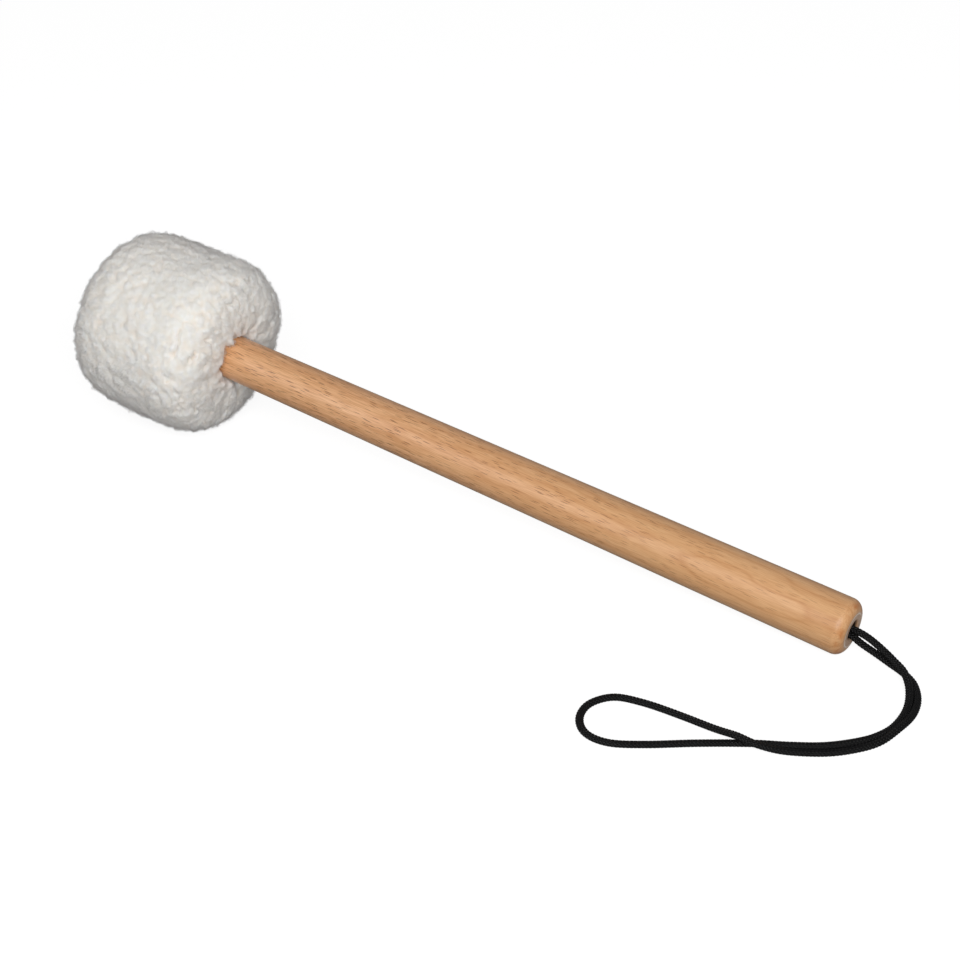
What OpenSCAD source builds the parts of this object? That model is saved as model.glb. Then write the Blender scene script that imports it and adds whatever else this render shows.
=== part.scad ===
// Soft beater for a large drum or a gong: a turned, tapered beech handle with a fleece-covered head
// and a wrist cord. It lies on a table, on its head and on the end of its handle.
// The head is built from the inside out, so its size follows from its layers.

/* [Handle] */
// Length from the far end of the head to the end of the handle
overall_len = 390; // [340:1:480]
// Diameter at the butt end
butt_d = 25; // [22:0.5:32]
// Diameter where the handle enters the head
neck_d = 20.5; // [16:0.5:26]
// Radius of the rounded edge around the butt
butt_round = 5; // [2:0.5:6]
// Diameter of the tenon inside the head core
tenon_d = 14; // [11:0.5:17]
// Length of the tenon
tenon_len = 32; // [24:1:34]
// Diameter of the hole that the wrist cord is fixed in
cord_bore_d = 8; // [7:0.1:9.6]
// Depth of that hole
cord_bore_depth = 32; // [26:1:45]

/* [Head] */
// Diameter of the turned core
core_d = 48; // [36:1:64]
// Length of the turned core
core_len = 44; // [40:1:60]
// Thickness of the felt strip that is wound on the core
felt_t = 3.5; // [2:0.1:5]
// Thickness of the felt discs at both ends of the core
felt_disc_t = 4.5; // [3:0.1:6]
// How far the felt discs reach past the core
felt_disc_lap = 2; // [0:0.5:3]
// Thickness of the wadding over the felt
wadding_t = 4; // [3:0.1:8]
// Thickness of the fleece, backing and pile together
fleece_t = 7; // [5:0.1:10]
// How square the head's outline is, where 2 is an ellipse
head_square = 4.3; // [4:0.1:6]
// How far the pile is pressed flat where the head lies on the table
squash = 1; // [0.5:0.1:2]

/* [Fastening] */
// Diameter over the wood screw's thread
screw_d = 4.8; // [4:0.1:6]
// Length of the wood screw under its head
screw_len = 40; // [32:1:50]
// Diameter of the wood screw's head
screw_head_d = 9.5; // [8:0.1:12]
// Height of the wood screw's head
screw_head_h = 3; // [2:0.1:4]
// Diameter of the washer
washer_d = 14; // [12:0.5:18]
// Thickness of the washer
washer_t = 1.2; // [0.8:0.1:2]

/* [Thread and cord] */
// Diameter of the sewing thread that gathers the fleece
thread_d = 1.2; // [0.8:0.1:1.4]
// Turns of thread inside the far end of the head
tip_turns = 3; // [2:1:4]
// Diameter of the wrist cord
cord_d = 3; // [2.4:0.1:3.4]

/* [Hidden] */
$fn = 96;
// Gap between pieces that sit on each other
fit = 0.2;
// Gap between pieces that are pressed together in the cord hole
snug = 0.08;
// Degrees between the points of a round outline
arc_step = 5;

// Layers of the head along its axis, measured from its far end
end_stack = fleece_t + fit + wadding_t + fit + felt_disc_t + fit;
core_front = end_stack;
core_rear = core_front + core_len;
head_len = core_rear + end_stack;
head_half = head_len / 2;

// Layers of the head across its axis
felt_layers = 2;
felt_pitch = felt_t + 0.15;
felt_in = core_d / 2 + fit + 0.1;
felt_r = felt_in + (felt_layers - 1) * felt_pitch + felt_t;
disc_r = core_d / 2 + felt_disc_lap;
head_r = felt_r + fit + 0.1 + wadding_t + fit + fleece_t;

// Gathered hems of the fleece: a nub inside the far end, and a collar that is turned in along the handle
thread_pitch = thread_d + snug;
hem_t = 2;
tip_r = 3.6;
tip_len = wadding_t + felt_disc_t;
tip_hole_r = tip_r + 2 * thread_d + 1;
pucker_r = 8;
pucker_depth = 2.5;
collar_in = neck_d / 2 + fit;
collar_r = collar_in + hem_t;
collar_end = core_rear + fit + felt_disc_t + fit;
neck_turns = floor((wadding_t + fit - thread_d - 2 * snug) / thread_pitch);
thread_room_r = collar_r + thread_d + 0.6;
funnel_r = collar_in + 7.3;
funnel_depth = fleece_t - 0.5;

// Screw, washer and the recess that they sit in
recess_depth = screw_head_h + washer_t + 0.4;
washer_face = core_front + recess_depth;
screw_seat = washer_face - washer_t;
tenon_end = core_rear - tenon_len;
screw_tip = screw_seat + screw_len;
thread_step = 2;
screw_point = 4;

// Places of the two cord ends and the wedge in the cord hole, up from the handle's axis
bore_r = cord_bore_d / 2;
cord_end_depth = cord_bore_depth - 4;
cord_hold = [cord_end_depth, cord_end_depth / 2, 2];
lower_end_up = -(bore_r - cord_d / 2 - snug);
upper_end_up = lower_end_up + cord_d + snug;
wedge_up = upper_end_up + cord_d / 2 + snug;
wedge_recess = 4;
bore_chamfer = 1;

// How the beater lies: the axis leans until the pressed head and the butt both touch the table
head_outline = barrel(head_half, head_r);
butt_outline = butt_arc();
lean = settle(0, 12);
axis_z = -lowest(butt_outline, lean);
left_x = min([for (p = head_outline) p[1] * cos(lean) - p[0] * sin(lean)]);
right_x = max([for (p = butt_outline) p[1] * cos(lean) + p[0] * sin(lean)]);
mid_x = (left_x + right_x) / 2;

// Route of the wrist cord from the upper strand's exit, along the table and back to the lower strand's.
// X and Y count from the mouth of the cord hole, and Z from the table.
loop_route = [
    [6, -0.4, 11.8], [12.6, -0.8, 9.2], [19.4, -2, 6.2], [26.4, -5.6, 4.6], [32, -12.6, 2.6],
    [35.6, -23, 1.6], [35.8, -35.2, 1.5], [32.6, -45.4, 2], [27, -54.2, 2.8], [18, -62.6, 2.9],
    [6.6, -69.2, 2.6], [-7, -75, 1.6], [-25, -86.2, 1.5], [-42, -98, 1.5], [-55, -105, 1.5],
    [-65.6, -104.8, 1.5], [-72.4, -98, 1.5], [-73.6, -88.4, 1.5], [-67.6, -79.4, 1.5], [-56, -76, 1.5],
    [-40, -75, 1.5], [-24, -75.4, 2], [-13, -77.2, 4.4], [-4, -77.4, 4.2], [5.9, -73.1, 2.2],
    [19.1, -65.4, 1.7], [28.4, -57.1, 1.7], [35, -47.9, 1.9], [38.4, -37, 2.9], [39.1, -25.6, 1.9],
    [36.9, -15.6, 1.6], [31.8, -7.4, 1.7], [25.4, -2.8, 1.8], [18, -1.4, 3.3], [11.3, -1.6, 6], [5, -1.4, 8]
];
cord_sides = 8;
rings_per_point = 2;

// Radius of the tapered handle at a distance from the far end of the head
function handle_r(z) = (neck_d + (butt_d - neck_d) * (z - head_len) / (overall_len - head_len)) / 2;

// Rounded barrel outline as [radius, distance along the axis] points, from one end to the other
function barrel(half, radius) = [
    for (t = [0 : arc_step : 180])
        [radius * pow(sin(t), 2 / head_square), half * (1 - sign(cos(t)) * pow(abs(cos(t)), 2 / head_square))]
];

// Rounded edge of the butt, from the taper to the flat end
function butt_arc() =
    let (z = overall_len - butt_round, r = handle_r(z) - butt_round)
    [for (t = [0 : arc_step : 90]) [r + butt_round * cos(t), z + butt_round * sin(t)]];

// Points of an outline moved along the axis, without those nearer the axis than its two end openings
function opened(outline, shift, front_r, rear_r) =
    let (middle = (outline[0][1] + outline[len(outline) - 1][1]) / 2)
    [for (p = outline) if (p[0] > (p[1] < middle ? front_r : rear_r)) [p[0], p[1] + shift]];

function reversed(list) = [for (i = [len(list) - 1 : -1 : 0]) list[i]];

// Lowest height of a turned outline when its axis leans down towards the butt
function lowest(outline, angle) = min([for (p = outline) -p[1] * sin(angle) - p[0] * cos(angle)]);

// Leans the axis a little further each time until head and butt stand on one level
function settle(angle, times) = times == 0 ? angle :
    let (drop = lowest(butt_outline, angle) - lowest(head_outline, angle) - squash)
    settle(angle + asin(drop / (overall_len - head_half)), times - 1);

// Point on the smooth curve through a list of points, between point i and the next
function curve_point(p, i, u) =
    let (a = p[max(i - 1, 0)], b = p[i], c = p[i + 1], d = p[min(i + 2, len(p) - 1)])
    b + u * (c - a) / 2 + u * u * (a - 2.5 * b + 2 * c - d / 2) + u * u * u * (1.5 * (b - c) + (d - a) / 2);

function curve(p, steps) = concat(
    [for (i = [0 : len(p) - 2]) for (k = [0 : steps - 1]) curve_point(p, i, k / steps)],
    [p[len(p) - 1]]
);

// Height of a cord's middle, which never sinks into the table
function on_table(p) = [p[0], p[1], max(p[2], cord_d / 2)];

function unit(v) = v / norm(v);

// Ring of points around a path's point, square to the path
function ring(path, i, d, sides) =
    let (along = unit(path[min(i + 1, len(path) - 1)] - path[max(i - 1, 0)]))
    let (across = unit(cross([0, 0, 1], along)), upward = cross(along, across))
    [for (k = [0 : sides - 1]) let (turn = 360 * k / sides)
        path[i] + d / 2 * (cos(turn) * across + sin(turn) * upward)];

// Place in the frame of a point on the handle, from its distance along the axis and up from it
function placed(z, up) = [
    z * cos(lean) + up * sin(lean) - mid_x,
    0,
    axis_z - z * sin(lean) + up * cos(lean)
];

// Whole middle line of the wrist cord, with both ends in the cord hole
function cord_path() =
    let (mouth_x = placed(overall_len, 0)[0])
    concat(
        [for (depth = cord_hold) placed(overall_len - depth, upper_end_up)],
        [for (p = loop_route) [mouth_x + p[0], p[1], p[2]]],
        [for (depth = reversed(cord_hold)) placed(overall_len - depth, lower_end_up)]
    );

// Turns of thread around the axis, with their straight stretches clear of what they are wound on
function winding(radius, start, turns) =
    let (step = 22.5, r = radius / cos(step / 2))
    [for (t = [0 : step : 360 * turns]) [r * cos(t), r * sin(t), start + thread_pitch * t / 360]];

// Radius of the felt strip's inner side: flat on the layer below, then a ramp over the strip's own start
function wrap_r(angle) =
    let (turn = floor(angle / 360), ramp = max(0, angle % 360 - 300) / 60)
    felt_in + felt_pitch * (turn + ramp * ramp * (3 - 2 * ramp));

// Round tube along a path
module sweep(path, d, sides) {
    last = len(path) - 1;
    points = [for (i = [0 : last]) each ring(path, i, d, sides)];
    walls = [
        for (i = [0 : last - 1]) for (k = [0 : sides - 1])
            let (a = i * sides + k, b = i * sides + (k + 1) % sides)
            each [[a, b + sides, b], [a, a + sides, b + sides]]
    ];
    start_cap = [for (k = [0 : sides - 1]) k];
    end_cap = [for (k = [sides - 1 : -1 : 0]) last * sides + k];
    polyhedron(points = points, faces = concat(walls, [start_cap, end_cap]));
}

// Puts a piece that was drawn along +Z on the leaning axis of the beater
module on_axis() {
    translate([-mid_x, 0, axis_z])
        rotate([0, 90 + lean, 0])
            children();
}

module turned(outline) {
    rotate_extrude() polygon(outline);
}

module drilled(from, to, d) {
    translate([0, 0, from]) cylinder(h = to - from, d = d);
}

// Flat round layer with a hole
module layer(from, thickness, outer_r, hole_r) {
    difference() {
        drilled(from, from + thickness, 2 * outer_r);
        drilled(from - 1, from + thickness + 1, 2 * hole_r);
    }
}

module handle() {
    edge = 1;
    color("#d2a57c") on_axis() difference() {
        turned(concat(
            [[0, tenon_end], [tenon_d / 2 - edge, tenon_end], [tenon_d / 2, tenon_end + edge]],
            [[tenon_d / 2, core_rear], [handle_r(core_rear), core_rear]],
            butt_outline,
            [[0, overall_len]]
        ));
        drilled(tenon_end - 1, screw_tip + 1, screw_d + fit);
        drilled(overall_len - cord_bore_depth, overall_len + 1, cord_bore_d);
        translate([0, 0, overall_len - bore_chamfer])
            cylinder(h = 2 * bore_chamfer, r1 = bore_r, r2 = bore_r + 2 * bore_chamfer);
    }
}

module head_core() {
    edge = 2;
    r = core_d / 2;
    color("#c9a77f") on_axis() difference() {
        turned([
            [0, core_front], [r - edge, core_front], [r, core_front + edge],
            [r, core_rear - edge], [r - edge, core_rear], [0, core_rear]
        ]);
        drilled(tenon_end - fit, core_rear + 1, tenon_d + fit);
        drilled(core_front, tenon_end, screw_d + 2 * fit);
        drilled(core_front - 1, washer_face, washer_d + 2 * fit);
    }
}

module core_screw() {
    root = screw_d / 2 - 0.7;
    shank_end = tenon_end + 2;
    ridges = floor((screw_tip - screw_point - shank_end) / thread_step);
    slot_len = 0.55 * screw_head_d;
    slot_w = 1.1;
    slot_depth = 1.8;
    color("#9fa3a6") on_axis() difference() {
        turned(concat(
            [[0, screw_seat - screw_head_h], [screw_head_d / 2 - 1, screw_seat - screw_head_h]],
            [[screw_head_d / 2, screw_seat - screw_head_h + 1], [screw_head_d / 2, screw_seat]],
            [[screw_d / 2, screw_seat], [screw_d / 2, shank_end]],
            [for (k = [0 : ridges - 1]) each [
                [root, shank_end + k * thread_step + 0.4],
                [root, shank_end + k * thread_step + 1.2],
                [screw_d / 2, shank_end + k * thread_step + 1.8],
                [screw_d / 2, shank_end + k * thread_step + 2]
            ]],
            [[root, screw_tip - screw_point], [0, screw_tip]]
        ));
        for (turn = [0, 90])
            rotate(turn)
                translate([-slot_len / 2, -slot_w / 2, screw_seat - screw_head_h - 1])
                    cube([slot_len, slot_w, slot_depth + 1]);
    }
}

module core_washer() {
    color("#b4b8ba") on_axis() layer(screw_seat, washer_t, washer_d / 2, screw_d / 2 + fit);
}

module felt_wrap() {
    last_angle = 360 * felt_layers - 60;
    angles = [for (a = [0 : 2 * arc_step : last_angle]) a];
    inner = [for (a = angles) wrap_r(a) * [cos(a), sin(a)]];
    outer = [for (a = reversed(angles)) (wrap_r(a) + felt_t) * [cos(a), sin(a)]];
    color("#b9b2a4") on_axis()
        translate([0, 0, core_front]) linear_extrude(core_len) polygon(concat(inner, outer));
}

module felt_front_disc() {
    color("#bdb6a8") on_axis() layer(core_front - fit - felt_disc_t, felt_disc_t, disc_r, tip_hole_r);
}

module felt_rear_ring() {
    color("#bdb6a8") on_axis()
        layer(core_rear + fit, felt_disc_t, disc_r, handle_r(core_rear + felt_disc_t) + fit);
}

module wadding() {
    skin = fleece_t + fit;
    outer = opened(barrel(head_half - skin, head_r - skin), skin, tip_hole_r, thread_room_r);
    felt_hole = felt_r + fit + 0.1;
    disc_hole = disc_r + fit;
    step = fit + felt_disc_t + fit;
    color("#e6e4de") on_axis() turned(concat(
        [[tip_hole_r, skin]],
        outer,
        [[thread_room_r, head_len - skin], [thread_room_r, core_rear + step], [disc_hole, core_rear + step]],
        [[disc_hole, core_rear + fit], [felt_hole, core_rear + fit]],
        [[felt_hole, core_front - fit], [disc_hole, core_front - fit]],
        [[disc_hole, core_front - step], [tip_hole_r, core_front - step]]
    ));
}

module fleece_cover() {
    outer = opened(head_outline, 0, pucker_r, funnel_r);
    hollow = opened(barrel(head_half - fleece_t, head_r - fleece_t), fleece_t, tip_r, collar_r);
    below = 20;
    color("#e0ded9") difference() {
        on_axis() turned(concat(
            [[0, pucker_depth], [pucker_r, 0]],
            outer,
            [[funnel_r, head_len], [collar_in, head_len - funnel_depth]],
            [[collar_in, collar_end], [collar_r, collar_end], [collar_r, head_len - fleece_t]],
            reversed(hollow),
            [[tip_r, fleece_t], [tip_r, fleece_t + tip_len], [0, fleece_t + tip_len]]
        ));
        translate([-overall_len, -overall_len, -below]) cube([2 * overall_len, 2 * overall_len, below]);
    }
}

module tip_thread() {
    start = fleece_t + tip_len - thread_d - tip_turns * thread_pitch;
    color("#e8e6e0") on_axis()
        sweep(winding(tip_r + thread_d / 2 + snug, start, tip_turns), thread_d, cord_sides);
}

module neck_thread() {
    start = collar_end + thread_d / 2 + snug;
    color("#e8e6e0") on_axis()
        sweep(winding(collar_r + thread_d / 2 + snug, start, neck_turns), thread_d, cord_sides);
}

module wrist_cord() {
    color("#161617") sweep([for (p = curve(cord_path(), rings_per_point)) on_table(p)], cord_d, cord_sides);
}

module cord_wedge() {
    color("#c79a6c") on_axis() intersection() {
        drilled(overall_len - cord_end_depth, overall_len - wedge_recess, cord_bore_d - 2 * snug);
        translate([-cord_bore_d - wedge_up, -cord_bore_d, overall_len - cord_bore_depth])
            cube([cord_bore_d, 2 * cord_bore_d, cord_bore_depth]);
    }
}

handle();
head_core();
core_screw();
core_washer();
felt_wrap();
felt_front_disc();
felt_rear_ring();
wadding();
fleece_cover();
tip_thread();
neck_thread();
wrist_cord();
cord_wedge();
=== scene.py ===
# Soft beater for a large drum or a gong: fleece head, turned beech handle and braided wrist cord.
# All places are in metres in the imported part's frame: the table is z = 0 and the handle runs towards +X.
import math

import bmesh
import bpy
import numpy as np
from mathutils import Matrix, Vector, kdtree, noise


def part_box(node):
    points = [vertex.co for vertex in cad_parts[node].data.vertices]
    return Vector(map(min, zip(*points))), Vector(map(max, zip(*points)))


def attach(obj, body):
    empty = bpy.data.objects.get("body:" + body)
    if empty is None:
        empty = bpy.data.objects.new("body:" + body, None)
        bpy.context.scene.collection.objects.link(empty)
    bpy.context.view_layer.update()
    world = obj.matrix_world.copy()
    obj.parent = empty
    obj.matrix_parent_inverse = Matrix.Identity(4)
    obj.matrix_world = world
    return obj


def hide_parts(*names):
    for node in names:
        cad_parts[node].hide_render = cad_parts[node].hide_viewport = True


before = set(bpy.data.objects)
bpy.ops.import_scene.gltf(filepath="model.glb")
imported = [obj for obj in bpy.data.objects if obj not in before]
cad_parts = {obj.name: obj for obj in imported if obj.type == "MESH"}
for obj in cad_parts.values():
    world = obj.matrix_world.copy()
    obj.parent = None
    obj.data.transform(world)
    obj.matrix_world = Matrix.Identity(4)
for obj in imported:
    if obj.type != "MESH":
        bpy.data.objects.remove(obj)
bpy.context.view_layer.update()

# View
# A long lens about 1.1 m away looks down on the beater from beside its butt, as the photograph does.
# It needs no shift, and everything is in focus.
MM = 0.001
view_target = Vector((7.4, 8.0, 14.05)) * MM
view_distance = 1104.3 * MM
view_angle = math.radians(22)
view_azimuth = math.radians(32.55)
view_elevation = math.radians(34.05)
view_back = Vector((
    math.sin(view_azimuth) * math.cos(view_elevation),
    -math.cos(view_azimuth) * math.cos(view_elevation),
    math.sin(view_elevation),
))
camera = bpy.data.objects.new("camera", bpy.data.cameras.new("camera"))
camera.data.angle = view_angle
camera.location = view_target + view_distance * view_back
camera.rotation_euler = view_back.to_track_quat("Z", "Y").to_euler()
bpy.context.scene.collection.objects.link(camera)
bpy.context.scene.camera = camera

# Handle
# One length of beech, turned to a slow taper with a rounded butt and drilled for the wrist cord.
# It is sanded along the grain and lacquered, and its thinner tenon is glued into the core of the head.
TURN = 2 * math.pi
overall_len = 390 * MM
head_len = 76.2 * MM
neck_d = 20.5 * MM
butt_d = 25 * MM
butt_round = 5 * MM
tenon_d, tenon_len, tenon_chamfer = 14 * MM, 32 * MM, 1 * MM
core_rear = 60.1 * MM
cord_bore_d, cord_bore_depth, bore_chamfer = 8 * MM, 32 * MM, 1 * MM
screw_bore_d, screw_bore_end = 5 * MM, 60.5 * MM
# The first width is the band at the edge of the butt's end face that carries a painted highlight.
rim_w, end_grain_t = 0.35 * MM, 0.12 * MM
rounding_band_start, rounding_band_full = 3.4 * MM, 1.4 * MM
handle_sides, handle_steps, butt_steps = 192, 60, 13
crisp_edge = math.radians(35)
weld = 1e-7


def middle(node):
    """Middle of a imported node's box."""
    low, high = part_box(node)
    return (low + high) / 2


def add_node(tree, kind, inputs=None, out=0, **settings):
    """Adds a node with its settings and gives one of its outputs, by name or number.
    Inputs, by name or number too, take a value or another node's output."""
    node = tree.nodes.new(kind)
    for name, value in settings.items():
        setattr(node, name, value)
    for name, value in (inputs or {}).items():
        if isinstance(value, bpy.types.NodeSocket):
            tree.links.new(value, node.inputs[name])
        else:
            node.inputs[name].default_value = value
    return node.outputs[out]


def linear(code):
    """Linear colour of an sRGB hex value."""
    shares = [int(code[i:i + 2], 16) / 255 for i in (0, 2, 4)]
    return (*[s / 12.92 if s <= 0.04045 else ((s + 0.055) / 1.055) ** 2.4 for s in shares], 1.0)


def new_material(name, values):
    """A material with its node tree and its shader, which gets the values that are the same all over."""
    material = bpy.data.materials.new(name)
    material.use_nodes = True
    shader = material.node_tree.nodes["Principled BSDF"]
    for socket, value in values.items():
        shader.inputs[socket].default_value = value
    return material, material.node_tree, shader


def surface(tree, shader, tone, height, strength, depth, **settings):
    """Gives a material its colour, and its relief as a bump of some depth."""
    relief = add_node(
        tree, "ShaderNodeBump", {"Height": height, "Strength": strength, "Distance": depth}, **settings)
    tree.links.new(tone, shader.inputs["Base Color"])
    tree.links.new(relief, shader.inputs["Normal"])


def handle_r(s):
    """Radius of the tapered handle at a distance from the far end of the head."""
    return (neck_d + (butt_d - neck_d) * (s - head_len) / (overall_len - head_len)) / 2


def piece_of(name, points, faces, marks=None):
    """A smooth closed piece from points along, across and above the beater's axis, with attributes."""
    mesh = bpy.data.meshes.new(name)
    mesh.from_pydata(points, [], faces)
    mesh.transform(axis_frame)
    for mark, values in (marks or {}).items():
        mesh.attributes.new(mark, "FLOAT", "POINT").data.foreach_set("value", values)
    shaped = bmesh.new()
    shaped.from_mesh(mesh)
    bmesh.ops.remove_doubles(shaped, verts=shaped.verts, dist=weld)
    bmesh.ops.recalc_face_normals(shaped, faces=shaped.faces)
    shaped.to_mesh(mesh)
    shaped.free()
    mesh.shade_smooth()
    mesh.set_sharp_from_angle(angle=crisp_edge)
    piece = bpy.data.objects.new(name, mesh)
    bpy.context.scene.collection.objects.link(piece)
    return piece


def turned(name, outline, sides, closed=False, reshape=None, **marks):
    """A piece turned about the beater's axis from (distance along it, radius) points, with attributes.
    Reshape may move the points, given as distances, radii and angles, and may add attributes."""
    outline = np.array(outline, float)
    rows = len(outline)
    angle = np.tile(np.arange(sides) * TURN / sides, (rows, 1))
    s, r = (np.repeat(outline[:, n:n + 1], sides, 1) for n in (0, 1))
    marks = {
        mark: np.repeat(np.asarray(values, float)[:, None], sides, 1) for mark, values in marks.items()}
    if reshape:
        s, r, more_marks = reshape(s, r, angle)
        marks.update(more_marks)
    points = np.stack([s, r * np.sin(angle), r * np.cos(angle)], -1).reshape(-1, 3)
    i, k = np.meshgrid(np.arange(rows if closed else rows - 1), np.arange(sides), indexing="ij")
    j, m = (i + 1) % rows, (k + 1) % sides
    faces = np.stack([i * sides + k, i * sides + m, j * sides + m, j * sides + k], -1).reshape(-1, 4)
    return piece_of(name, points.tolist(), faces.tolist(), {mark: v.ravel() for mark, v in marks.items()})


washer_middle = 20.1 * MM
axis = (middle("felt_rear_ring") - middle("core_washer")).normalized()
sideways = Vector((0, 1, 0))
upward = axis.cross(sideways)
head_tip = middle("core_washer") - washer_middle * axis
lean = math.atan2(-axis.z, axis.x)
axis_frame = Matrix.Translation(head_tip) @ Matrix((axis, sideways, upward)).transposed().to_4x4()

tenon_end = core_rear - tenon_len
taper_end = overall_len - butt_round
butt_arc = [
    (taper_end + butt_round * math.sin(t), handle_r(taper_end) - butt_round * (1 - math.cos(t)))
    for t in np.linspace(0, math.pi / 2, butt_steps)
]
handle_line = [
    (screw_bore_end, 0), (screw_bore_end, screw_bore_d / 2), (tenon_end, screw_bore_d / 2),
    (tenon_end, tenon_d / 2 - tenon_chamfer), (tenon_end + tenon_chamfer, tenon_d / 2),
    (core_rear, tenon_d / 2),
    *[(s, handle_r(s)) for s in np.linspace(core_rear, taper_end, handle_steps)[:-1]],
    *butt_arc,
    (overall_len, butt_arc[-1][1] - rim_w), (overall_len, cord_bore_d / 2 + bore_chamfer),
    (overall_len - bore_chamfer, cord_bore_d / 2),
    (overall_len - cord_bore_depth, cord_bore_d / 2), (overall_len - cord_bore_depth, 0),
]
along_line, from_axis = np.array(handle_line).T
from_butt = overall_len - along_line
handle = turned(
    "beech_handle", handle_line, handle_sides,
    # A band over the outer part of the butt's rounding is painted darker and more orange.
    rounding=np.interp(from_butt, [0, rounding_band_full, rounding_band_start], [0, 1, 0]),
    end_grain=np.interp(from_butt, [0, end_grain_t], [1, 0]),
    # The band at the edge of the end face is painted pale, as a painted highlight.
    rim=np.isclose(from_axis, butt_arc[-1][1]) & (from_butt < butt_round),
    # The wall of the cord hole is painted dark brown: raw, unlacquered wood, darkened further as painted
    # shade.
    bored=(from_axis < (cord_bore_d + bore_chamfer) / 2) & (from_butt < butt_round + cord_bore_depth))

# Steamed beech is pinkish tan. Cut along the grain it shows short dark dashes where its rays end, faint
# growth rings and fine fibres, and across the grain it is greyer. A satin lacquer softens its shine.
# Sizes are in millimetres, along the grain and across it. Fibres are drawn as coarse as they need to show.
sway_size, patch_size, fibre_size, fleck_size = (45, 14), (26, 7), (9, 0.27), (9, 0.5)
ring_w, ring_sway = 2.6, 3.6
pith_place = (0, -34, 22)
pores_per_mm, blotches_per_mm = 2.2, 0.35


def share_of(tree, reasons):
    """Product of patterns, each given with the range it is brought from and the range it is brought to."""
    share = 1.0
    for reason in reasons:
        reach = add_node(tree, "ShaderNodeMapRange", dict(enumerate(reason)))
        share = add_node(tree, "ShaderNodeMath", {0: reach, 1: share}, operation="MULTIPLY")
    return share


def layered(tree, tone, *layers):
    """Lays colours over a tone, each with the patterns that its share comes from."""
    for colour, *reasons in layers:
        share = share_of(tree, reasons)
        tone = add_node(tree, "ShaderNodeMix", {0: share, 6: tone, 7: colour}, out=2, data_type="RGBA")
    return tone


def beech_grain(tree):
    """Places along the grain in millimetres, the wood's colour there, and how dark its flecks are."""
    place = add_node(tree, "ShaderNodeTexCoord", out="Object")
    grain = add_node(
        tree, "ShaderNodeMapping",
        {"Vector": place, "Location": head_tip, "Rotation": (0, lean, 0), "Scale": (MM, MM, MM)},
        vector_type="TEXTURE")
    patterns = []
    for kind, (long, wide) in (
        ("ShaderNodeTexNoise", sway_size), ("ShaderNodeTexNoise", patch_size),
        ("ShaderNodeTexNoise", fibre_size), ("ShaderNodeTexVoronoi", fleck_size),
    ):
        per_mm = (1 / long, 1 / wide, 1 / wide)
        drawn_out = add_node(tree, "ShaderNodeVectorMath", {0: grain, 1: per_mm}, operation="MULTIPLY")
        patterns.append(add_node(tree, kind, {"Vector": drawn_out, "Scale": 1.0}))
    sway, patch, fibre, off_fleck = patterns
    from_pith = add_node(tree, "ShaderNodeVectorMath", {0: grain, 1: pith_place}, operation="SUBTRACT")
    across_rings = add_node(
        tree, "ShaderNodeVectorMath", {0: from_pith, 1: (0, 1 / ring_w, 1 / ring_w)}, operation="MULTIPLY")
    ring_count = add_node(tree, "ShaderNodeVectorMath", {0: across_rings}, out="Value", operation="LENGTH")
    ring_place = add_node(
        tree, "ShaderNodeMath", {0: sway, 1: ring_sway, 2: ring_count}, operation="MULTIPLY_ADD")
    ring = add_node(tree, "ShaderNodeMath", {0: ring_place, 1: 1.0}, operation="PINGPONG")
    along = add_node(tree, "ShaderNodeSeparateXYZ", {0: grain})
    fleck = share_of(tree, [
        (off_fleck, 0.27, 0.18), (patch, 0.36, 0.54, 0.45, 0.95), (along, 180, 350, 1, 0.45)])
    tone = layered(
        tree, linear("ecb98b"),
        (linear("e4ae80"), (ring,)),
        (linear("bd9861"), (along, 150, 300, 0, 0.3)),
        (linear("cf9560"), (patch, 0.45, 0.65, 0, 0.2)),
        (linear("b87c48"), (fibre, 0.38, 0.64), (along, 180, 330, 0.6, 0.42)),
        (linear("a9682f"), (ring, 0.82, 1), (along, 200, 330, 0.15, 0.3)),
        (linear("6c3914"), (fleck,)))
    return grain, tone, fleck


beech, tree, shader = new_material("lacquered beech", {
    "Roughness": 0.34, "Specular IOR Level": 0.15, "Coat Weight": 0.6, "Coat Roughness": 0.38})
grain, tone, fleck = beech_grain(tree)
pores = add_node(tree, "ShaderNodeTexVoronoi", {"Vector": grain, "Scale": pores_per_mm})
blotch = add_node(tree, "ShaderNodeTexNoise", {"Vector": grain, "Scale": blotches_per_mm})
cut_tone = layered(tree, linear("c9a283"), (linear("e6cdb6"), (blotch,)))
mark_tones = {
    # The rounding near the butt is painted darker and more orange in blotches.
    "rounding": layered(tree, tone, (linear("bd7a45"), (blotch, 0.4, 0.6))),
    "end_grain": layered(tree, linear("a98262"), (cut_tone, (pores,))),
    # The dark colour in the cord hole is raw wood with painted shade.
    # The pale colour at the edge of the end face is a painted highlight.
    "rim": linear("f6e6d6"), "bored": linear("3d2a1b"),
}
for mark, mark_tone in mark_tones.items():
    marked = add_node(tree, "ShaderNodeAttribute", out="Fac", attribute_name=mark)
    tone = layered(tree, tone, (mark_tone, (marked,)))
surface(tree, shader, tone, fleck, 0.1, 0.1 * MM, invert=True)
handle.data.materials.append(beech)
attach(handle, "root")
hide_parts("handle")

# Core of the head
# A plain turned drum of the same beech, left raw, that gives the head its weight. It has a blind hole, in
# which the handle's tenon is glued, and a recess for the washer.
tool_mark_w, tool_mark_len = 0.5, 40


def refinished(node, material):
    """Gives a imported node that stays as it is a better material."""
    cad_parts[node].data.materials.clear()
    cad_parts[node].data.materials.append(material)


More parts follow.
